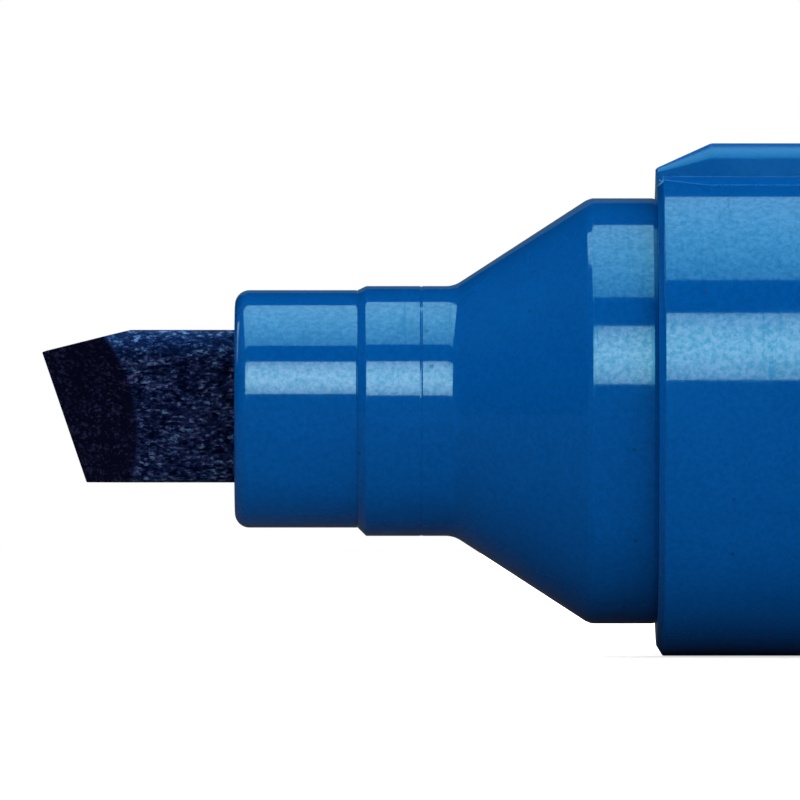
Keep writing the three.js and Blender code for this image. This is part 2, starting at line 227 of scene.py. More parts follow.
# The photograph: what one of its 800 pixels spans at the axis, and where its centre lies
PHOTO_WIDTH = 26.4 * MM
PHOTO_CENTRE_BEFORE_SHOULDER = 8.448 * MM
PHOTO_CENTRE_ABOVE_AXIS = 0.363 * MM
CAMERA_DISTANCE = 0.6
SENSOR_WIDTH = 36.0
LIGHT_DISTANCE = 0.5
FLOOR_HALF = 0.4
FLOOR_DROP = 0.02 * MM

# Meshes
ROUND_ANGLES = 256
BARREL_ANGLES = 208  # fewer, because the rib's creases add their own
CAP_ANGLES = 240
SLEEVE_ANGLES = 512
VENT_ANGLES = 48
ARC_STEPS = 10
SUPPORT = 0.035 * MM  # how close to an arc a straight line gets its nearest point
LONGEST_STEP = 3.0 * MM
HALVINGS = 50
WELD = 2e-4 * MM  # points closer than this are one
SAME = 1e-6 * MM  # places closer than this are the same
ROW_GAP = 2e-6 * MM  # least step between two rows of the barrel
COLUMN_GAP = 5e-4  # columns closer to a crease than this, in radians, give way to its own
CREASE = 38  # degrees
BARREL_CREASE = 18  # degrees, for the slants beside the rib's sides
BLUNT_TURN = 0.45 / MM  # an edge that turns no faster than this isn't worn
SHARP_TURN = 2.2 / MM  # and one that turns this fast is worn all over


# Shapes


def smooth_min(a, b, width):
    """Lesser of a and b, with the crease between them rounded by a parabola over the given width."""
    lap = np.maximum(width - np.abs(a - b), 0)
    return np.minimum(a, b) - lap**2 / (4 * np.maximum(width, 1e-12))


def smooth_max(a, b, width):
    """Greater of a and b, rounded in the same way."""
    return -smooth_min(-a, -b, width)


def smooth_step(low, high, value):
    """Rises from 0 at low to 1 at high as 3t^2 - 2t^3."""
    t = np.clip((value - low) / (high - low), 0, 1)
    return t * t * (3 - 2 * t)


def arc(before, corner, after, rounding):
    """Arc tangent to both lines at a corner: each point is the sine-weighted mean of its two ends."""
    back = (before - corner) / np.linalg.norm(before - corner)
    on = (after - corner) / np.linalg.norm(after - corner)
    half = math.acos(np.clip(back @ on, -1, 1)) / 2
    middle = corner + (back + on) / np.linalg.norm(back + on) * rounding / math.sin(half)
    start = corner + back * rounding / math.tan(half) - middle
    end = corner + on * rounding / math.tan(half) - middle
    sweep = math.pi - 2 * half
    share = np.linspace(0, 1, ARC_STEPS + 1)[:, None]
    both = start * np.sin((1 - share) * sweep) + end * np.sin(share * sweep)
    return middle + both / math.sin(sweep)


def line_between(start, end):
    """Inner points of a straight line: one close to each end, and even steps between those."""
    length = np.linalg.norm(end - start)
    margin = min(SUPPORT, length / 4)
    steps = max(2, math.ceil((length - 2 * margin) / LONGEST_STEP) + 1)
    share = np.linspace(margin, length - margin, steps)[:, None] / length
    return start + (end - start) * share


def profile(corners, closed=False):
    """Points (x, radius) of an outline given by its corners [x, radius, rounding]."""
    places = np.array([corner[:2] for corner in corners], float)
    bends = []
    for i, corner in enumerate(corners):
        if len(corner) < 3:
            bends.append(places[i][None])
        else:
            bends.append(arc(places[i - 1], places[i], places[(i + 1) % len(corners)], corner[2]))
    runs = [bends[0]]
    for bend in bends[1:]:
        runs += [line_between(runs[-1][-1], bend[0]), bend]
    if closed:
        runs += [line_between(runs[-1][-1], bends[0][0]), bends[0][:1]]
    return np.concatenate(runs)


def round_angles(count=ROUND_ANGLES):
    """Even angles round the axis, without the last, which is the first again."""
    return np.linspace(0, TURN, count, endpoint=False)


def gathered_angles(centres, half_width, count, dense):
    """Even angles with dense more of them within half_width of each centre, sorted, in one turn."""
    near = centres[:, None] + np.linspace(-half_width, half_width, dense)[None]
    both = np.concatenate([round_angles(count), near.ravel() % TURN])
    return np.unique(np.round(both, 5))


def from_nearest(angles, sector=TURN):
    """Angles less the nearest whole number of sectors."""
    return (angles + sector / 2) % sector - sector / 2


def rows_of(*values):
    """Values side by side, such as a point's coordinates, once they are spread to one shape."""
    return np.stack(np.broadcast_arrays(*values), -1)


def revolved(x, radius, angles, axis_z=AXIS_Z):
    """Point (x, r sin a, axis + r cos a) for each place x along a profile and each angle a.

    The angles are one row for all places, or a row for each.
    """
    return rows_of(x[:, None], radius * np.sin(angles), axis_z + radius * np.cos(angles))


def lathed(corners):
    """An open outline of corners carried round the axis."""
    points = profile(corners)
    return revolved(points[:, 0], points[:, 1:], round_angles())


def edge_mask(grid, outward):
    """1 on rounded outer edges, 0 on flats and in hollows, from how fast the surface turns.

    Along the rows and along the columns alike, the turn is the change of the unit step between
    neighbours over their distance, measured against the outward normal.
    """
    unit_normal = outward / np.maximum(np.linalg.norm(outward, axis=-1, keepdims=True), 1e-30)
    sharpest = np.zeros(grid.shape[:2])
    for axis in (0, 1):
        ahead = np.roll(grid, -1, axis) - grid
        length = np.maximum(np.linalg.norm(ahead, axis=-1, keepdims=True), 1e-9)
        step = ahead / length
        bend = np.roll(step, 1, axis) - step
        span = (length + np.roll(length, 1, axis))[..., 0] / 2
        sharpest = np.maximum(sharpest, (bend * unit_normal).sum(-1) / span)
    return smooth_step(BLUNT_TURN, SHARP_TURN, sharpest)


def new_object(name, data):
    made = bpy.data.objects.new(name, data)
    bpy.context.collection.objects.link(made)
    return made


def skin(name, grid, masks=None, crease=CREASE):
    """Closed mesh over a grid whose columns go round. Equal points are merged and faces point out.

    An edge that bends by more than the crease, in degrees, is shaded sharp.
    """
    rows, columns = grid.shape[:2]
    index = np.arange(rows * columns).reshape(rows, columns)
    after = np.roll(index, -1, 1)
    faces = np.stack([index[:-1], after[:-1], after[1:], index[1:]], -1).reshape(-1, 4)
    points = grid.reshape(-1, 3)
    a, b, c, d = (points[faces[:, i]] for i in range(4))
    volume = (np.cross(a, b) * c).sum() + (np.cross(a, c) * d).sum()
    if volume < 0:
        faces = faces[:, ::-1]
    along = np.roll(grid, -1, 0) - np.roll(grid, 1, 0)
    around = np.roll(grid, -1, 1) - np.roll(grid, 1, 1)
    masks = dict(masks or {}, edge=edge_mask(grid, np.cross(around, along) * np.sign(volume)))
    mesh = bpy.data.meshes.new(name)
    mesh.from_pydata(points, [], faces)
    for title, values in masks.items():
        mesh.attributes.new(title, "FLOAT", "POINT").data.foreach_set("value", values.ravel())
    work = bmesh.new()
    work.from_mesh(mesh)
    bmesh.ops.remove_doubles(work, verts=work.verts, dist=WELD)
    work.to_mesh(mesh)
    work.free()
    mesh.shade_smooth()
    mesh.set_sharp_from_angle(angle=math.radians(crease))
    return new_object(name, mesh)


def ray_lengths(shape, angles, longest):
    """How far a ray at each angle runs inside a shape, found by halving the span HALVINGS times.

    shape(y, z) is below zero inside, and every ray leaves it once, before its longest length.
    """
    inside = np.zeros(angles.shape)
    outside = inside + longest
    for _ in range(HALVINGS):
        middle = (inside + outside) / 2
        within = shape(middle * np.sin(angles), middle * np.cos(angles)) < 0
        inside = np.where(within, middle, inside)
        outside = np.where(within, outside, middle)
    return inside


def rounded_box(y, z, half_y, half_z, corner):
    """Signed distance from a rectangle with rounded corners, below zero inside."""
    over_y = np.abs(y) - half_y + corner
    over_z = np.abs(z) - half_z + corner
    outer = np.hypot(np.maximum(over_y, 0), np.maximum(over_z, 0))
    return outer + np.minimum(np.maximum(over_y, over_z), 0) - corner


def front_section_surface():
    """The skirt, cone, seat and land in one profile, with the turned line round the land.

    The rim of the land's front face is a circle about the sleeve's axis, which lies a little
    higher, and the chamfer blends from it to the land.
    """
    land_back = LAND_FRONT + LAND_LENGTH
    line = LAND_FRONT + LAND_LINE
    seat_front = land_back + CONE_LENGTH
    seat_back = SHOULDER - SEAM
    points = profile([
        [SKIRT_END, SKIRT_BORE],
        [seat_back - CONE_WALL, SKIRT_BORE, ROOT_ROUND],
        [land_back + CONE_WALL, SLEEVE_BORE, ROOT_ROUND],
        [LAND_FRONT, SLEEVE_BORE],
        [LAND_FRONT, SLEEVE_RADIUS, SHARP_ROUND],
        [LAND_FRONT + LAND_CHAMFER, LAND_RADIUS, EDGE_ROUND],
        [line - LAND_LINE_HALF, LAND_RADIUS, TURNED_ROUND],
        [line, LAND_RADIUS - LAND_LINE_DEPTH, TURNED_ROUND],
        [line + LAND_LINE_HALF, LAND_RADIUS, TURNED_ROUND],
        [land_back - CONE_EASE, LAND_RADIUS, CONE_FOOT_ROUND],
        [seat_front - CONE_EASE, SEAT_RADIUS - SEAT_LEAD_DEPTH, ROOT_ROUND],
        [seat_front - CONE_EASE + SEAT_LEAD_LENGTH, SEAT_RADIUS, SEAT_FRONT_ROUND],
        [seat_back - SEAT_REAR_LENGTH, SEAT_RADIUS, SEAT_REAR_ROUND],
        [seat_back, SEAT_RADIUS - SEAT_REAR_DEPTH, SHARP_ROUND],
        [seat_back, SKIRT_RADIUS, FINE_ROUND],
        [SKIRT_END - SKIRT_LEAD, SKIRT_RADIUS, SOFT_ROUND],
        [SKIRT_END, SKIRT_RADIUS - SKIRT_LEAD / 2, FINE_ROUND],
    ], closed=True)
    x, radius = points[:, :1], points[:, 1:]
    from_face = np.clip(1 - (x - LAND_FRONT) / LAND_CHAMFER, 0, 1)
    rise = (SLEEVE_Z - AXIS_Z) * np.where(radius > (SLEEVE_BORE + SLEEVE_RADIUS) / 2, from_face, 0)
    return revolved(points[:, 0], radius, round_angles(), AXIS_Z + rise)


def rear_plug_surface():
    """The plug's skirt, seat, cone and the stub that the cap's liner slides over."""
    face = BARREL_REAR + SEAM
    seat_back = BARREL_REAR + SEAT_LENGTH
    land_start = seat_back + CONE_LENGTH
    stub_bore = LAND_RADIUS - STUB_WALL
    return lathed([
        [STUB_END - STUB_WALL, 0],
        [STUB_END - STUB_WALL, stub_bore, SOFT_ROUND],
        [land_start - STUB_WALL / 2, stub_bore, ROOT_ROUND],
        [face + STUB_WALL, SKIRT_BORE, ROOT_ROUND],
        [PLUG_FRONT, SKIRT_BORE, FINE_ROUND],
        [PLUG_FRONT, SKIRT_RADIUS - SKIRT_LEAD / 2, FINE_ROUND],
        [PLUG_FRONT + SKIRT_LEAD, SKIRT_RADIUS, SOFT_ROUND],
        [face, SKIRT_RADIUS, FINE_ROUND],
        [face, SEAT_RADIUS, EDGE_ROUND],
        [seat_back, SEAT_RADIUS, SOFT_ROUND],
        [land_start, LAND_RADIUS, ROOT_ROUND],
        [STUB_END, LAND_RADIUS, STUB_ROUND],
        [STUB_END, 0],
    ])


def cap_liner_surface():
    """The liner's cup, its sealing band with a lead, and the skirt behind the membrane."""
    seal_start = LINER_MOUTH + LINER_LEAD
    seal_end = seal_start + LINER_SEAL_LENGTH
    return lathed([
        [MEMBRANE_FRONT, 0],
        [MEMBRANE_FRONT, LINER_BORE, SOFT_ROUND],
        [seal_end + LINER_BORE - LINER_SEAL_RADIUS, LINER_BORE, EDGE_ROUND],
        [seal_end, LINER_SEAL_RADIUS, EDGE_ROUND],
        [seal_start, LINER_SEAL_RADIUS, EDGE_ROUND],
        [LINER_MOUTH, LINER_SEAL_RADIUS + LINER_LEAD, LIP_ROUND],
        [LINER_MOUTH, LINER_RADIUS, EDGE_ROUND],
        [LINER_END, LINER_RADIUS, EDGE_ROUND],
        [LINER_END, LINER_BORE, LIP_ROUND],
        [MEMBRANE_FRONT + LINER_MEMBRANE, LINER_BORE, SOFT_ROUND],
        [MEMBRANE_FRONT + LINER_MEMBRANE, 0],
    ])


def rib_crown():
    """Points (x, height above the axis) of the rib's crown: flat, with a ramp at either end."""
    return profile([
        [SHOULDER, RIB_FOOT_RADIUS - RIB_DROP],
        [SHOULDER + RIB_FRONT, RIB_FOOT_RADIUS, LIP_ROUND],
        [SHOULDER + RIB_RAMP, RIB_TOP_RADIUS, RIB_BEND],
        [BARREL_REAR - RIB_RAMP, RIB_TOP_RADIUS, RIB_BEND],
        [BARREL_REAR - RIB_FRONT, RIB_FOOT_RADIUS, LIP_ROUND],
        [BARREL_REAR, RIB_FOOT_RADIUS - RIB_DROP],
    ])


def rib_radius(top, angles):
    """Radius of the anti-roll rib at each angle, below a crown at each height.

    Its section is the greatest of the distances from drafted sides and from a crown, flat in its
    middle and rounded towards a slant on either side: hypot of the distances from both, less the
    rounding, which grows from RIB_EDGE_LOW to RIB_EDGE as the crown climbs. The columns near the
    creases between slants and sides move so that one follows each. The rib lies on top of the
    barrel only, so the radius is zero past a sixth of a turn from there. The moved angles come
    first, then the radius, a mask of what lies above the creases, and the two creases' own angles.
    """
    foot = math.sqrt(BARREL_RADIUS**2 - RIB_HALF_WIDTH**2)
    foot_angle = math.asin(RIB_HALF_WIDTH / BARREL_RADIUS)
    climbed = np.clip((top - RIB_FOOT_RADIUS) / (RIB_TOP_RADIUS - RIB_FOOT_RADIUS), 0, 1)
    edge = (RIB_EDGE_LOW + (RIB_EDGE - RIB_EDGE_LOW) * climbed)[:, None]
    crease_z = top[:, None] - edge
    crease_y = RIB_HALF_WIDTH - (crease_z - foot) * math.tan(RIB_DRAFT)
    crease = np.minimum(np.arctan2(crease_y, crease_z), foot_angle - RIB_CREASE_GAP)
    highest = crease.min()
    inner_end = highest - RIB_COLUMN_SPREAD
    turned = from_nearest(angles)
    off = np.abs(turned)
    inner = inner_end + (off - inner_end) * (crease - inner_end) / (highest - inner_end)
    outer = foot_angle - (foot_angle - off) * (foot_angle - crease) / (foot_angle - highest)
    moved = np.select([off < inner_end, off < highest, off < foot_angle], [off, inner, outer], off)
    moved = np.where(turned < 0, -moved, moved)

    def section(y, z):
        from_crown = z - crease_z
        past_crease = np.abs(y) - crease_y
        from_slant = past_crease * math.cos(RIB_SLANT) + from_crown * math.sin(RIB_SLANT) + edge
        rounded = np.hypot(np.maximum(from_crown, 0), np.maximum(from_slant, 0))
        rounded += np.minimum(np.maximum(from_crown, from_slant), 0) - edge
        past_side = np.abs(y) - RIB_HALF_WIDTH
        from_side = past_side * math.cos(RIB_DRAFT) + (z - foot) * math.sin(RIB_DRAFT)
        return np.maximum(rounded, from_side)

    lengths = ray_lengths(section, moved, 2 * RIB_RADIUS)
    radius = np.where(np.cos(moved) > 0.5, lengths, 0)
    above_crease = smooth_step(SATIN_START, SATIN_FULL, radius * np.cos(moved) - crease_z)
    return moved, radius, above_crease, np.array([highest, foot_angle])


def barrel_surface():
    """Tube with the rib on top and the centring ribs inside.

    Outside, the radius is the greater of the tube's and the rib's. The end faces stretch to it in
    proportion. Inside, a centring rib is the ray's first crossing of a flat top or a side. The
    satin mask is 1 on the rib's crown and its rounded edges.
    """
    tube = profile([
        [SHOULDER, BARREL_BORE],
        [SHOULDER, BARREL_RADIUS - BARREL_CHAMFER_DEPTH, BARREL_FACE_ROUND],
        [SHOULDER + BARREL_CHAMFER_LENGTH, BARREL_RADIUS, BARREL_SIDE_ROUND],
        [BARREL_REAR - BARREL_CHAMFER_LENGTH, BARREL_RADIUS, BARREL_SIDE_ROUND],
        [BARREL_REAR, BARREL_RADIUS - BARREL_CHAMFER_DEPTH, BARREL_FACE_ROUND],
        [BARREL_REAR, BARREL_BORE],
    ])
    first = np.flatnonzero(tube[:, 0] < SHOULDER + SAME)[-1]
    last = np.flatnonzero(tube[:, 0] > BARREL_REAR - SAME)[0]
    outside = tube[first:last + 1]
    creases = rib_radius(np.full(1, RIB_TOP_RADIUS), np.zeros(1))[-1]
    turns = (np.arange(CENTRING_RIBS) + 0.5) * TURN / CENTRING_RIBS
    sides = np.array([1, -1]) * (creases.mean() - RIB_COLUMN_SPREAD / 2)
    angles = np.union1d(
        gathered_angles(sides, RIB_COLUMN_SPREAD * 0.85, BARREL_ANGLES, dense=90),
        gathered_angles(turns, CENTRING_RIB_REACH, BARREL_ANGLES, dense=9),
    )
    for crease in np.concatenate([creases, TURN - creases]):
        angles = np.append(angles[np.abs(angles - crease) > COLUMN_GAP], crease)
    angles = np.sort(angles)
    ramp = np.arange(RIB_ROWS, RIB_RAMP + RIB_ROWS_PAST, RIB_ROWS)
    crown_x, crown_height = rib_crown().T
    bends = crown_x[np.minimum(crown_x - SHOULDER, BARREL_REAR - crown_x) < ramp[-1]]
    x = np.unique(np.concatenate([outside[:, 0], bends, SHOULDER + ramp, BARREL_REAR - ramp[::2]]))
    x = x[np.append(True, np.diff(x) > ROW_GAP)]
    plain = np.interp(x, outside[:, 0], outside[:, 1])[:, None]
    moved, rib, above_crease, _ = rib_radius(np.interp(x, crown_x, crown_height), angles)
    outer = np.maximum(plain, rib)

    face_shares = np.array([0, 0.05, 0.5, 0.93, 0.98])[:, None]
    rows = len(face_shares)
    front_face = BARREL_BORE + face_shares * (outer[:1] - BARREL_BORE)
    rear_face = BARREL_BORE + face_shares[::-1] * (outer[-1:] - BARREL_BORE)

    start = SKIRT_END + CENTRING_RIB_END
    end = PLUG_FRONT - CENTRING_RIB_END
    inner_x = np.concatenate([
        [BARREL_REAR - BORE_END, end + CENTRING_RIB_RISE],
        np.linspace(end, start, 12),
        [start - CENTRING_RIB_RISE, SHOULDER + BORE_END],
    ])
    off = np.abs(from_nearest(angles[None] - turns[:, None])).min(0)
    rib_side = CENTRING_RIB_HALF / np.maximum(np.sin(off), 1e-6)
    ribbed = np.minimum(BARREL_BORE, np.maximum(CENTRING_RIB_RADIUS / np.cos(off), rib_side))
    has_ribs = ((inner_x >= start - SAME) & (inner_x <= end + SAME))[:, None]
    inner = np.where(has_ribs, ribbed, BARREL_BORE)

    places = np.concatenate([
        np.full(rows, SHOULDER),
        x,
        np.full(rows, BARREL_REAR),
        inner_x,
        [SHOULDER],
    ])
    radii = np.concatenate([front_face, outer, rear_face, inner, front_face[:1]])
    around = np.concatenate([
        np.repeat(moved[:1], rows, 0),
        moved,
        np.repeat(moved[-1:], rows, 0),
        np.repeat(angles[None], len(inner_x), 0),
        moved[:1],
    ])
    satin = np.zeros_like(radii)
    on_rib = smooth_step(SATIN_START, SATIN_FULL, rib - plain)
    satin[rows:rows + len(x)] = above_crease * on_rib
    return revolved(places, radii, around), {"satin": satin}


def cap_shell_surface():
    """Turned shell with six flats.

    The radius is the lesser of the profile's and a flat's, apothem / cos(turn), behind the collar.
    """
    inner_end = CAP_END - CAP_END_WALL
    boss_front = inner_end - BOSS_LENGTH
    flare_start = CAP_MOUTH + CAP_COLLAR
    body_start = flare_start + CAP_FLARE
    points = profile([
        [inner_end, 0],
        [inner_end, BOSS_BORE, CAP_INNER_ROUND],
        [boss_front, BOSS_BORE, LIP_ROUND],
        [boss_front, BOSS_RADIUS, EDGE_ROUND],
        [inner_end, BOSS_RADIUS, CAP_INNER_ROUND],
        [inner_end, CAP_BORE, ROOT_ROUND],
        [CAP_MOUTH + CAP_MOUTH_ROUND, CAP_BORE, CAP_INNER_ROUND],
        [CAP_MOUTH, CAP_BORE + CAP_MOUTH_ROUND, EDGE_ROUND],
        [CAP_MOUTH, BARREL_RADIUS, CAP_MOUTH_ROUND],
        [flare_start, BARREL_RADIUS, CAP_FLARE_ROUND],
        [body_start, CAP_RADIUS, CAP_FLARE_ROUND],
        [CAP_END, CAP_RADIUS, CAP_END_ROUND],
        [CAP_END, CAP_RECESS_RADIUS + CAP_RECESS_DEPTH, CAP_RECESS_ROUND],
        [CAP_END - CAP_RECESS_DEPTH, CAP_RECESS_RADIUS, CAP_RECESS_ROUND],
        [CAP_END - CAP_RECESS_DEPTH, 0],
    ])
    x, radius = points[:, 0], points[:, 1:]
    corner = math.acos(CAP_APOTHEM / CAP_RADIUS)
    turns = np.arange(CAP_FLATS) * TURN / CAP_FLATS
    corners = np.concatenate([turns - corner, turns + corner])
    angles = gathered_angles(corners, CAP_CORNER_REACH, CAP_ANGLES, dense=10)
    turn = from_nearest(angles, TURN / CAP_FLATS)
    softness = CAP_FLAT_SOFTNESS * smooth_step(flare_start, body_start, x)[:, None]
    shaped = smooth_min(radius, CAP_APOTHEM / np.cos(turn)[None], softness)
    return revolved(x, np.where(x[:, None] > flare_start - CAP_FLATS_AHEAD, shaped, radius), angles)


def vent_cutter_surface(turn):
    """A pin through the cap's end, flared at the outside so that the hole gets a rounded rim."""
    start = CAP_END - CAP_END_WALL - MM
    points = profile([
        [start, 0],
        [start, CAP_VENT_RADIUS],
        [CAP_END - CAP_VENT_EDGE, CAP_VENT_RADIUS, CAP_VENT_EDGE],
        [CAP_END + MM, CAP_VENT_RADIUS + 9 * CAP_VENT_EDGE],
        [CAP_END + MM, 0],
    ])
    grid = revolved(points[:, 0], points[:, 1:], round_angles(VENT_ANGLES), 0)
    centre = (LINER_RADIUS + CAP_BORE) / 2
    return grid + np.array([0, centre * math.sin(turn), AXIS_Z + centre * math.cos(turn)])


def sleeve_surface():
    """Small cylinder with the nib's slot through it.

    Each row is a blend between a circle about the sleeve's axis and the slot's outline: 0 along the
    outside, rising across the front face, 1 through the slot, and falling again across the tail.
    """
    angles = round_angles(SLEEVE_ANGLES)
    step = LAND_FRONT - SEAM
    tail = SLEEVE_RADIUS - SLEEVE_STOP
    outside = profile([
        [SLEEVE_END, tail - SLEEVE_STOP / 2 - 2 * FACE_RIM],
        [SLEEVE_END, tail - SLEEVE_STOP / 2, SLEEVE_TAIL_ROUND],
        [SLEEVE_END - SLEEVE_STOP, tail, EDGE_ROUND],
        [step, tail],
        [step, SLEEVE_RADIUS - SLEEVE_EASE_DEPTH, STEP_ROUND],
        [step - SLEEVE_EASE_LENGTH, SLEEVE_RADIUS, FINE_ROUND],
        [SLEEVE_FRONT, SLEEVE_RADIUS, SLEEVE_EDGE],
        [SLEEVE_FRONT, SLEEVE_RADIUS - SLEEVE_EDGE - FACE_RIM],
    ])
    turn = np.linspace(0, math.pi / 2, 6)[1:]
    lip = SLOT_MOUTH_ROUND / SLOT_MOUTH_REACH
    mouth = SLEEVE_FRONT + SLOT_MOUTH_ROUND * (1 - np.cos(turn))
    slot_x = np.linspace(SLEEVE_FRONT + SLOT_MOUTH_ROUND + SUPPORT, SLEEVE_END, 6)
    x, radius, blends = np.concatenate([
        rows_of(outside[:, 0], outside[:, 1], 0),
        rows_of(SLEEVE_FRONT, outside[-1, 1], np.linspace(0.05, 1 - lip, 5)),
        rows_of(mouth, outside[-1, 1], 1 - lip * (1 - np.sin(turn))),
        rows_of(slot_x, outside[-1, 1], 1),
        rows_of(SLEEVE_END, outside[0, 1], np.linspace(0.98, 0, 5)),
    ]).T

    def slot_shape(y, z):
        half_slot = NIB_HALF_THICKNESS + NIB_FIT
        grip = rounded_box(y, z, half_slot, NIB_HALF_WIDTH + NIB_FIT, NIB_CORNER + NIB_FIT)
        groove = rounded_box(y, z, half_slot + VENT_DEPTH, VENT_HALF_WIDTH, VENT_ROUND)
        return smooth_min(grip, groove, VENT_BLEND)

    slot = ray_lengths(slot_shape, angles, SLEEVE_RADIUS)
    circle = revolved(x, radius[:, None], angles, SLEEVE_Z)
    through = revolved(x, slot[None], angles, NIB_Z)
    grid = circle + (through - circle) * blends[:, None, None]
    return np.concatenate([grid, grid[:1]])


def nib_edge(z):
    """Where the writing edge lies, along the axis, at each height."""
    drop = 2 * NIB_HALF_WIDTH - NIB_HEEL_DEPTH
    return NIB_TIP + NIB_SLANT * (NIB_EDGE_TOP - z) / drop


def nib_bevel(z):
    """Length of the ground bevels at each height: longest above the middle, shorter by a parabola."""
    return NIB_BEVEL_LENGTH - NIB_BEVEL_CAMBER * (z - NIB_Z - NIB_BEVEL_HEIGHT) ** 2


def nib_front(y, z):
    """How far back the nib's front lies at (y, z): the greatest of the two bevels and the heel."""
    half_edge = NIB_EDGE_THICKNESS / 2
    run = smooth_max(np.abs(y) - half_edge, np.zeros_like(y), NIB_EDGE_BLEND)
    bevels = nib_edge(z) + nib_bevel(z) * run / (NIB_HALF_THICKNESS - half_edge)
    heel = NIB_TIP + (z - NIB_EDGE_TOP) * NIB_HEEL_LENGTH / NIB_HEEL_DEPTH
    return smooth_max(bevels, heel, NIB_HEEL_BLEND)


def nib_surface():
    """Felt slab ground to a chisel.

    Columns go round the slab's section. A row is a share of the way from the section's middle line
    to its outline while it crosses the front, and a place along the slab after that. The ground
    mask is 1 on the bevels, and a second mask is 1 along the top, where the felt gets a painted
    highlight standing in for the light from above.
    """
    half_z = NIB_HALF_WIDTH - NIB_CORNER
    half_y = NIB_HALF_THICKNESS - NIB_CORNER
    quarter = np.linspace(0, math.pi / 2, 15)
    rise = np.linspace(-half_z, half_z, 90)[1:-1]
    width = np.linspace(half_y, -half_y, 48)[1:-1]
    around_y = np.concatenate([
        np.full(len(rise), half_y + NIB_CORNER),
        half_y + NIB_CORNER * np.cos(quarter),
        width,
        -half_y - NIB_CORNER * np.sin(quarter),
    ])
    around_z = np.concatenate([
        rise,
        half_z + NIB_CORNER * np.sin(quarter),
        np.full(len(width), half_z + NIB_CORNER),
        half_z + NIB_CORNER * np.cos(quarter),
    ])
    around_y = np.concatenate([around_y, -around_y])
    around_z = np.concatenate([around_z, -around_z])
    spine_z = np.clip(around_z, -half_z, half_z)

    def at(share):
        return share * around_y, NIB_Z + spine_z + share * (around_z - spine_z)

    inset = NIB_LIP / NIB_HALF_THICKNESS
    shares = np.concatenate([np.linspace(0, 0.14, 12)[:-1], np.linspace(0.14, 1 - inset, 44)])
    y, z = at(shares[:, None])
    front = rows_of(nib_front(y, z), y, z)
    rim_y, rim_z = at(np.ones(1))
    rim = rows_of(nib_front(rim_y, rim_z), rim_y, rim_z)
    behind = rim + np.array([NIB_LIP, 0, 0])
    t = np.linspace(0, 1, 6)[1:, None, None]
    turn = (1 - t) ** 2 * front[-1] + 2 * t * (1 - t) * rim + t**2 * behind

    back = np.array([0.05, 0.1, 0.16, 0.24, 0.4])[:, None, None] * MM
    sides = behind + back * np.array([1, 0, 0])
    taper = NIB_TAIL - NIB_TAIL_TAPER
    share = np.linspace(0, 1, 26)[1:, None]
    along = sides[-1][:, 0] + share * (taper - sides[-1][:, 0])
    body = rows_of(along, rim_y, rim_z)
    narrow = 1 + np.linspace(0, 1, 5)[1:, None] * (NIB_TAIL_FLAT / NIB_HALF_WIDTH - 1)
    tail_x = np.linspace(taper, NIB_TAIL, 5)[1:, None]
    tail = rows_of(tail_x, rim_y, NIB_Z + (rim_z - NIB_Z) * narrow)
    close_y, close_z = at(np.linspace(1, 0, 6)[1:, None])
    close_z = NIB_Z + (close_z - NIB_Z) * NIB_TAIL_FLAT / NIB_HALF_WIDTH
    close = rows_of(NIB_TAIL, close_y, close_z)

    grid = np.concatenate([front, turn, sides, body, tail, close])
    behind_bevel = grid[..., 0] - nib_edge(grid[..., 2]) - nib_bevel(grid[..., 2])
    ground = 1 - smooth_step(NIB_FADE_START, NIB_FADE_END, behind_bevel)
    # Painted highlight mask: 1 along the nib's top, where the light from above falls
    painted_top_light = smooth_step(NIB_TOP_LIGHT_START, NIB_TOP_LIGHT_FULL, grid[..., 2] - NIB_Z)
    return grid, {"ground": ground, "painted_top_light": painted_top_light}


# Finishes


def feed(made, **inputs):
    """Sets a node's inputs to values, or links them to other nodes' outputs.

    An input goes by its title, with _ for each space, or by _ and its number.
    """
    for name, value in inputs.items():
        socket = made.inputs[int(name[1:]) if name[0] == "_" else name.replace("_", " ")]
        if isinstance(value, bpy.types.NodeSocket):
            made.id_data.links.new(value, socket)
        else:
            socket.default_value = value


def node(kind, settings=None, tree=None, **inputs):
    """A shader node with its settings and inputs, in the tree given or the one its inputs are in."""
    if tree is None:
        tree = next(value.id_data for value in inputs.values() if isinstance(value, bpy.types.NodeSocket))
    made = tree.nodes.new(kind)
    for name, value in (settings or {}).items():
        setattr(made, name, value)
    feed(made, **inputs)
    return made


def reading(operation, a, b=0.0, c=0.0, clamp=False):
    """Output of one arithmetic step."""
    settings = {"operation": operation, "use_clamp": clamp}
    return node("ShaderNodeMath", settings, _0=a, _1=b, _2=c).outputs[0]


def total(a, b):
    return reading("ADD", a, b)


def product(a, b):
    return reading("MULTIPLY", a, b)


def scaled(value, by, start):
    """start + value * by."""
    return reading("MULTIPLY_ADD", value, by, start)


def noise(place, scale, detail=3.0, roughness=0.55, distortion=0.0):
    return node(
        "ShaderNodeTexNoise", Vector=place, Scale=scale, Detail=detail,
        Roughness=roughness, Distortion=distortion,
    ).outputs[0]


def stretched(place, scale):
    return node("ShaderNodeMapping", Vector=place, Scale=scale).outputs[0]


def cells(place, scale):
    """Distance from the nearest of scattered points, and that point's own random numbers."""
    made = node("ShaderNodeTexVoronoi", Vector=place, Scale=scale).outputs
    return made["Distance"], node("ShaderNodeSeparateColor", Color=made["Color"]).outputs


def ranged(value, low, high, to_low=0.0, to_high=1.0):
    """A value taken from one range to another, smoothly, and held at its ends."""
    return node(
        "ShaderNodeMapRange", {"interpolation_type": "SMOOTHSTEP"},
        Value=value, From_Min=low, From_Max=high, To_Min=to_low, To_Max=to_high,
    ).outputs[0]


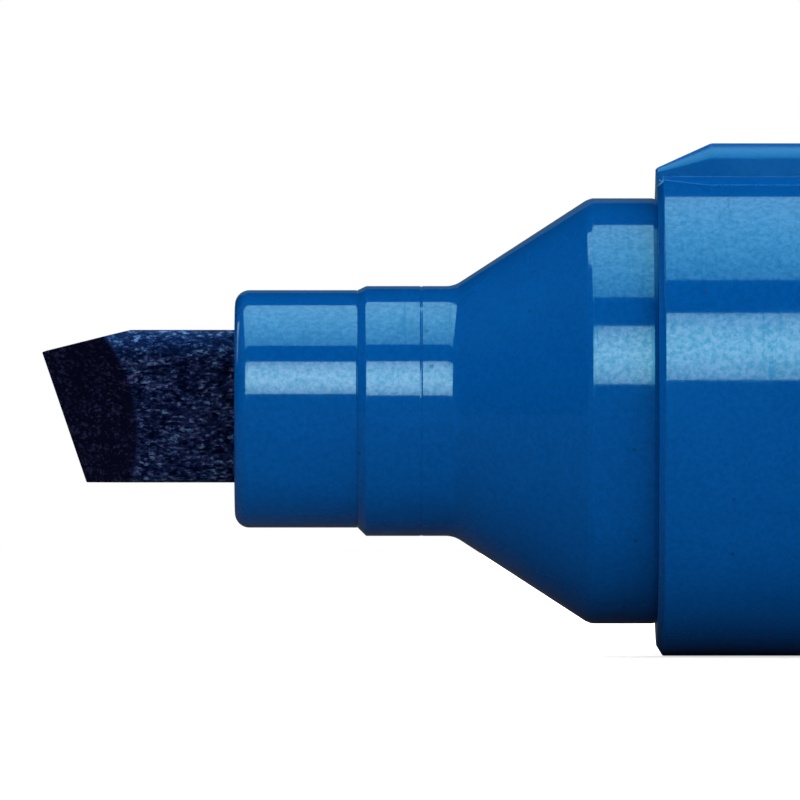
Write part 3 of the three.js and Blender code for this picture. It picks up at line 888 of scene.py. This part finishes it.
def blended(share, first, second, kind="MIX"):
    """Two colours mixed by a share. A plain one is given as (red, green, blue)."""
    first, second = ((*c, 1) if isinstance(c, tuple) else c for c in (first, second))
    settings = {"data_type": "RGBA", "blend_type": kind}
    return node("ShaderNodeMix", settings, _0=share, _6=first, _7=second).outputs[2]


def piece_mask(shader, title):
    """A mask that a piece carries on its points, and 0 on a piece without it."""
    settings = {"attribute_type": "GEOMETRY", "attribute_name": title}
    return node("ShaderNodeAttribute", settings, shader.id_data).outputs["Fac"]


def node_group(name, amounts, results):
    """Empty shader node group: a Vector and amounts with their defaults in, and results out."""
    tree = bpy.data.node_groups.new(name, "ShaderNodeTree")
    tree.interface.new_socket("Vector", in_out="INPUT", socket_type="NodeSocketVector")
    for title, default in amounts.items():
        socket = tree.interface.new_socket(title, in_out="INPUT", socket_type="NodeSocketFloat")
        socket.default_value = default
    for title in results:
        tree.interface.new_socket(title, in_out="OUTPUT", socket_type="NodeSocketFloat")
    return tree, tree.nodes.new("NodeGroupInput").outputs, tree.nodes.new("NodeGroupOutput")


def results_of(group, place, **amounts):
    """Outputs of a group used in a material."""
    return node("ShaderNodeGroup", {"node_tree": group}, Vector=place, **amounts).outputs


def moulded_surface_group():
    """Moulded plastic: fine scratches round the axis, soft waviness, handling haze and specks."""
    amounts = {"Scratches": 1.0, "Haze": 1.0, "Specks": 1.0}
    results = ("Gloss", "Roughness", "Specks", "Grain", "Height")
    tree, given, out = node_group("moulded_surface", amounts, results)
    place = given["Vector"]
    fine = noise(stretched(place, (9000, 900, 900)), 1.0, 3.0, 0.6)
    bold = noise(stretched(place, (2600, 110, 110)), 1.0, 4.0, 0.65, 0.6)
    mottle = noise(place, 5600.0, 6.0, 0.75)
    haze = noise(place, 420.0, 4.0, 0.6)
    wander = noise(place, 210.0, 1.0, 0.4, 0.3)
    off_level = reading("ABSOLUTE", reading("SUBTRACT", wander, 0.5))
    hairlines = ranged(off_level, 0.001, 0.005, 1.0, 0.0)
    here = ranged(noise(place, 330.0, 1.0, 0.5), 0.6, 0.64)
    hairlines = product(hairlines, here)
    lines = reading("MAXIMUM", ranged(bold, 0.6, 0.72), hairlines)
    from_point, chances = cells(place, 900.0)
    chosen = reading("GREATER_THAN", chances[0], 0.72)
    dot = ranged(from_point, 0.035, 0.09, 1.0, 0.0)
    speck = product(product(chosen, dot), given["Specks"])
    waver = total(product(mottle, 0.85), product(fine, 0.15))
    scratch = product(lines, given["Scratches"])
    gloss = ranged(waver, 0.34, 0.66)
    gloss = reading("SUBTRACT", gloss, total(scratch, speck), clamp=True)
    rough = product(ranged(haze, 0.35, 0.75), given["Haze"])
    rough = total(rough, product(scratch, 0.5))
    rough = total(rough, product(speck, 4.0))
    height = product(fine, 0.25)
    height = total(height, product(mottle, 0.35))
    height = reading("SUBTRACT", height, product(scratch, 0.5))
    height = total(height, product(speck, 1.5))
    feed(out, Gloss=gloss, Roughness=rough, Specks=speck, Grain=mottle, Height=height)
    return tree


def fibre_streaks_group():
    """Felted fibres that run along the axis: broken streaks, each one's share of dye, and patches."""
    amounts = {"Thinness": 10000.0, "Length": 5000.0}
    tree, given, out = node_group("fibre_streaks", amounts, ("Streaks", "Dye", "Patches", "Height"))
    place = given["Vector"]
    thin = given["Thinness"]
    scale = node("ShaderNodeCombineXYZ", X=given["Length"], Y=thin, Z=thin).outputs[0]
    along = node("ShaderNodeVectorMath", {"operation": "MULTIPLY"}, _0=place, _1=scale).outputs[0]
    fine = noise(along, 1.0, 5.0, 0.7, 0.15)
    broad = noise(along, 0.37, 2.0, 0.5, 0.3)
    patch = noise(stretched(place, (900, 1500, 1500)), 1.0, 2.0, 0.5)
    _, chances = cells(along, 1.3)
    both = total(product(fine, 0.7), product(broad, 0.3))
    broken = scaled(chances[0], 0.16, reading("SUBTRACT", both, 0.08))
    feed(out, Streaks=broken, Dye=chances[1], Patches=patch, Height=broken)
    return tree


def finish_material(name, colour, **values):
    """A material, its shader with plain values, and the place on the part from the axis."""
    material = bpy.data.materials.new(name)
    material.use_nodes = True
    material.diffuse_color = (*colour, 1)
    shader = material.node_tree.nodes["Principled BSDF"]
    feed(shader, Base_Color=(*colour, 1), **values)
    place = node("ShaderNodeTexCoord", tree=material.node_tree).outputs["Object"]
    centred = node("ShaderNodeMapping", Vector=place, Location=(0, 0, -AXIS_Z)).outputs[0]
    return material, shader, centred


def feed_shader(shader, height, depth, **values):
    """Links values to a shader, and the bump of a height, as deep as depth, to its normal."""
    bump = node("ShaderNodeBump", Height=height, Distance=depth, Strength=1.0)
    feed(shader, Normal=bump.outputs[0], **values)


def blue_plastic_material(surface):
    material, shader, place = finish_material(
        "blue_plastic", (0.0003, 0.0468, 0.189), IOR=1.62, Specular_Tint=(0.14, 0.84, 1.0, 1),
        Coat_Roughness=0.05, Coat_IOR=1.5,
    )
    found = results_of(surface, place, Scratches=1.0, Haze=1.0, Specks=1.0)
    drift = ranged(noise(place, 260.0, 3.0, 0.5), 0.3, 0.7)
    light = blended(drift, (0.0003, 0.0495, 0.203), (0.0004, 0.0535, 0.216))
    dark = blended(drift, (0.0002, 0.0395, 0.161), (0.0003, 0.0435, 0.174))
    colour = blended(ranged(found["Grain"], 0.36, 0.64), dark, light)
    colour = blended(found["Specks"], colour, (0.002, 0.03, 0.11))
    worn = piece_mask(shader, "edge")
    satin = piece_mask(shader, "satin")
    rough = scaled(found["Roughness"], 0.035, 0.06)
    rough = scaled(worn, 0.05, rough)
    rough = scaled(satin, 0.2, rough)
    along = node("ShaderNodeSeparateXYZ", Vector=place).outputs[0]
    unhandled = ranged(along, SHOULDER, LAND_FRONT, 0.1, 0.28)
    coat = scaled(found["Gloss"], 0.8, unhandled)
    coat = product(coat, scaled(worn, -0.25, 1.0))
    coat = product(coat, scaled(satin, -1.0, 1.0))
    depth = 0.0012 * MM
    feed_shader(shader, found["Height"], depth, Base_Color=colour, Roughness=rough, Coat_Weight=coat)
    return material


def natural_plastic_material(surface):
    material, shader, place = finish_material(
        "natural_plastic", (0.79, 0.81, 0.83), IOR=1.5, Subsurface_Weight=0.15, Subsurface_Scale=0.002
    )
    found = results_of(surface, place, Scratches=0.5, Haze=1.0, Specks=0.3)
    drift = ranged(noise(place, 300.0), 0.3, 0.7)
    colour = blended(drift, (0.74, 0.77, 0.8), (0.82, 0.84, 0.86))
    rough = scaled(found["Roughness"], 0.1, 0.32)
    feed_shader(shader, found["Height"], 0.003 * MM, Base_Color=colour, Roughness=rough)
    return material


def clear_film_material(surface):
    material, shader, place = finish_material(
        "clear_film", (0.62, 0.68, 0.75), IOR=1.5, Transmission_Weight=0.8
    )
    found = results_of(surface, place, Scratches=1.0, Haze=0.6, Specks=0.2)
    colour = blended(found["Gloss"], (0.55, 0.61, 0.68), (0.66, 0.72, 0.79))
    rough = scaled(found["Roughness"], 0.08, 0.15)
    feed_shader(shader, found["Height"], 0.004 * MM, Base_Color=colour, Roughness=rough)
    return material


def inked_felt_material(streaks):
    material, shader, place = finish_material(
        "inked_felt", (0.004, 0.007, 0.03), Specular_IOR_Level=0.02, Specular_Tint=(0.3, 0.65, 1.0, 1),
        Sheen_Weight=0.04, Sheen_Roughness=0.4, Sheen_Tint=(0.2, 0.6, 1.0, 1),
    )
    found = results_of(streaks, place, Thinness=10000.0, Length=5000.0)
    ground = piece_mask(shader, "ground")
    ragged = scaled(found["Streaks"], 2.2, -1.1)
    # The ground bevels: ink-soaked felt, a little glossier, and kept free of the painted glints and the
    # painted top highlight
    wet_without_glints = ranged(total(ground, ragged), 0.3, 0.7)
    patches = scaled(found["Patches"], 0.16, -0.08)
    level = total(found["Streaks"], patches)
    dye = ranged(total(found["Dye"], found["Patches"]), 0.6, 1.4)
    low = blended(ranged(level, 0.395, 0.535), (0.0, 0.0001, 0.005), (0.0025, 0.005, 0.024))
    mid_dye = blended(dye, (0.019, 0.0225, 0.066), (0.013, 0.0275, 0.07))
    # Painted glints: the brightest streaks are light reflected off wet fibres, painted into the felt's
    # colour
    glint_dye = blended(dye, (0.066, 0.074, 0.15), (0.046, 0.09, 0.158))
    mid = blended(ranged(level, 0.505, 0.615), low, mid_dye)
    high = blended(ranged(level, 0.58, 0.68), mid, glint_dye)
    # Painted highlight: along the top the felt is lighter and bluer, standing in for the light from above
    painted_top_light = piece_mask(shader, "painted_top_light")
    top_light_gain = blended(painted_top_light, (1.0, 1.0, 1.0), (1.5, 2.4, 2.2))
    top_light_glow = blended(painted_top_light, (0.0, 0.0, 0.0), (0.0008, 0.0058, 0.022))
    body = blended(1.0, high, top_light_gain, "MULTIPLY")
    body = blended(1.0, body, top_light_glow, "ADD")
    dark = blended(ranged(level, 0.5, 0.68), (0.0008, 0.0006, 0.0055), (0.009, 0.0085, 0.029))
    # Bevels get the dark felt without painted glints, since they face away from the lights
    colour = blended(wet_without_glints, body, dark)
    rough = ranged(wet_without_glints, 0.0, 1.0, 0.55, 0.42)
    feed_shader(shader, found["Height"], 0.05 * MM, Base_Color=colour, Roughness=rough)
    return material


def inked_fibre_material(streaks):
    material, shader, place = finish_material(
        "inked_fibre", (0.007, 0.011, 0.084), Roughness=0.7, Specular_IOR_Level=0.2
    )
    found = results_of(streaks, place, Thinness=9000.0, Length=260.0)
    level = ranged(found["Streaks"], 0.35, 0.65)
    colour = blended(level, (0.003, 0.005, 0.04), (0.014, 0.024, 0.13))
    rough = ranged(found["Patches"], 0.3, 0.7, 0.6, 0.85)
    feed_shader(shader, found["Height"], 0.08 * MM, Base_Color=colour, Roughness=rough)
    return material


surface_group = moulded_surface_group()
streak_group = fibre_streaks_group()
BLUE_PLASTIC = blue_plastic_material(surface_group)
NATURAL_PLASTIC = natural_plastic_material(surface_group)
CLEAR_FILM = clear_film_material(surface_group)
INKED_FELT = inked_felt_material(streak_group)
INKED_FIBRE = inked_fibre_material(streak_group)


# Pieces


def place_piece(piece, material, body, replaced):
    piece.data.materials.append(material)
    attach(piece, body)
    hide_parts(replaced)


def cut(piece, cutters):
    """Takes the cutters' solids out of a piece and keeps the result as its mesh."""
    for cutter in cutters:
        tool = piece.modifiers.new("vent", "BOOLEAN")
        tool.operation = "DIFFERENCE"
        tool.solver = "EXACT"
        tool.object = cutter
    solved = piece.evaluated_get(bpy.context.evaluated_depsgraph_get())
    mesh = bpy.data.meshes.new_from_object(solved)
    piece.modifiers.clear()
    old = piece.data
    piece.data = mesh
    bpy.data.meshes.remove(old)
    mesh.name = piece.name
    mesh.shade_smooth()
    mesh.set_sharp_from_angle(angle=math.radians(CREASE))
    for cutter in cutters:
        spare = cutter.data
        bpy.data.objects.remove(cutter)
        bpy.data.meshes.remove(spare)


nib = skin("chisel_nib", *nib_surface())
place_piece(nib, INKED_FELT, "pen", "nib")
sleeve = skin("nib_collar", sleeve_surface())
place_piece(sleeve, BLUE_PLASTIC, "pen", "nib_sleeve")
section = skin("front_cone", front_section_surface())
place_piece(section, BLUE_PLASTIC, "pen", "front_section")
barrel = skin("ribbed_barrel", *barrel_surface(), BARREL_CREASE)
place_piece(barrel, BLUE_PLASTIC, "pen", "barrel")
plug = skin("posting_plug", rear_plug_surface())
place_piece(plug, BLUE_PLASTIC, "pen", "rear_plug")
shell = skin("flatted_cap", cap_shell_surface())
vent_turns = np.arange(CAP_VENTS) * TURN / CAP_VENTS
cut(shell, [skin(f"vent_pin_{i}", vent_cutter_surface(turn)) for i, turn in enumerate(vent_turns)])
place_piece(shell, BLUE_PLASTIC, "cap", "cap_shell")
liner = skin("sealing_liner", cap_liner_surface())
place_piece(liner, NATURAL_PLASTIC, "cap", "cap_liner")

for kept, material in (("ink_reservoir", INKED_FIBRE), ("reservoir_wrap", CLEAR_FILM)):
    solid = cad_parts[kept]
    solid.data.materials.clear()
    solid.data.materials.append(material)


# Camera, light and floor

centre_x = SHOULDER - PHOTO_CENTRE_BEFORE_SHOULDER
camera = new_object("camera", bpy.data.cameras.new("camera"))
camera.data.sensor_width = SENSOR_WIDTH
camera.data.lens = SENSOR_WIDTH * CAMERA_DISTANCE / PHOTO_WIDTH
camera.data.clip_start = 0.01
camera.data.clip_end = 20
camera.location = (centre_x, -CAMERA_DISTANCE, AXIS_Z + PHOTO_CENTRE_ABOVE_AXIS)
camera.rotation_euler = (math.pi / 2, 0, 0)
bpy.context.scene.camera = camera


def softbox(
    name, low, high, half_turn, radiance, colour=(1, 1, 1),
    falloff=0.0, aside=0.0, in_gloss=True, in_diffuse=False,
):
    """Rectangular light that fills elevations low to high, in degrees up from the camera's side.

    Its height is 2 d tan(half the span) and its power is radiance times pi times its area. It hangs
    aside by a length towards the cap. Towards its upper and lower edge the cloth dims by falloff
    times the 1.5th power of the way there.
    """
    middle = math.radians((low + high) / 2)
    height = 2 * LIGHT_DISTANCE * math.tan(math.radians((high - low) / 2))
    width = 2 * LIGHT_DISTANCE * math.tan(math.radians(half_turn))
    lamp = bpy.data.lights.new(name, "AREA")
    lamp.shape = "RECTANGLE"
    lamp.size = width
    lamp.size_y = height
    lamp.energy = radiance * math.pi * width * height
    lamp.color = colour
    lamp.use_nodes = True
    place = node("ShaderNodeNewGeometry", tree=lamp.node_tree).outputs["Parametric"]
    upward = node("ShaderNodeSeparateXYZ", Vector=place).outputs[1]
    off_middle = reading("ABSOLUTE", scaled(upward, 2.0, -1.0))
    dimming = reading("POWER", off_middle, 1.5)
    feed(lamp.node_tree.nodes["Emission"], Strength=scaled(dimming, -falloff, 1.0))
    holder = new_object(name, lamp)
    holder.location = (
        centre_x + aside,
        -LIGHT_DISTANCE * math.cos(middle),
        AXIS_Z + LIGHT_DISTANCE * math.sin(middle),
    )
    holder.rotation_euler = (math.pi / 2 - middle, 0, 0)
    holder.visible_camera = False
    holder.visible_glossy = in_gloss
    holder.visible_diffuse = in_diffuse


softbox("key_softbox", 14.4, 46.5, 27, 5.1, (1.0, 0.985, 0.96), falloff=0.45)
softbox("overhead_softbox", 64, 120.6, 27, 2.3, (0.5, 0.95, 1.0), falloff=0.36)
softbox("backdrop_glow", 154, 179, 12, 0.12, (0.4, 0.75, 1.0))
softbox("side_softbox", 15, 45, 27.5, 3.0, aside=0.68)
softbox("rear_softbox", 140, 168, 40, 3.0, aside=0.65)
softbox("rear_nib_softbox", 130, 148, 27.5, 1.0, aside=-0.69)
softbox("high_fill", 14.4, 46.5, 60, 2.6, aside=0.4, in_gloss=False, in_diffuse=True)
softbox("front_fill", -5, 14.4, 60, 7.3, aside=0.4, in_gloss=False, in_diffuse=True)
softbox("top_fill", 64, 140, 60, 3.0, in_gloss=False, in_diffuse=True)
softbox("rear_fill", 140, 175, 50, 4.0, in_gloss=False, in_diffuse=True)

world = bpy.data.worlds.new("pale_studio")
bpy.context.scene.world = world
world.use_nodes = True
world.node_tree.nodes.clear()
ray = node("ShaderNodeLightPath", tree=world.node_tree).outputs
room = node("ShaderNodeBackground", Color=(1, 1, 1, 1), Strength=ray["Is Camera Ray"])
node("ShaderNodeOutputWorld", Surface=room.outputs[0])

floor_mesh = bpy.data.meshes.new("pale_floor")
floor_corners = np.array([[-1, -1], [1, -1], [1, 1], [-1, 1]]) * FLOOR_HALF
floor_mesh.from_pydata(np.column_stack([floor_corners, np.full(4, -FLOOR_DROP)]), [], [(0, 1, 2, 3)])
floor = new_object("pale_floor", floor_mesh)
floor_material = bpy.data.materials.new("pale_floor")
floor_material.use_nodes = True
ground_tree = floor_material.node_tree
ground_tree.nodes.clear()
ray = node("ShaderNodeLightPath", tree=ground_tree).outputs
muted = node("ShaderNodeBsdfDiffuse", Color=ranged(ray["Is Glossy Ray"], 0, 1, 0.28, 0.016))
pale = node("ShaderNodeBsdfDiffuse", tree=ground_tree, Color=(0.8, 0.8, 0.8, 1))
lift = node("ShaderNodeEmission", tree=ground_tree, Color=(1, 1, 1, 1), Strength=0.6)
seen = node("ShaderNodeAddShader", _0=pale.outputs[0], _1=lift.outputs[0])
chosen = node("ShaderNodeMixShader", _0=ray["Is Camera Ray"], _1=muted.outputs[0], _2=seen.outputs[0])
node("ShaderNodeOutputMaterial", Surface=chosen.outputs[0])
floor_mesh.materials.append(floor_material)

bpy.context.scene.view_settings.view_transform = "Standard"
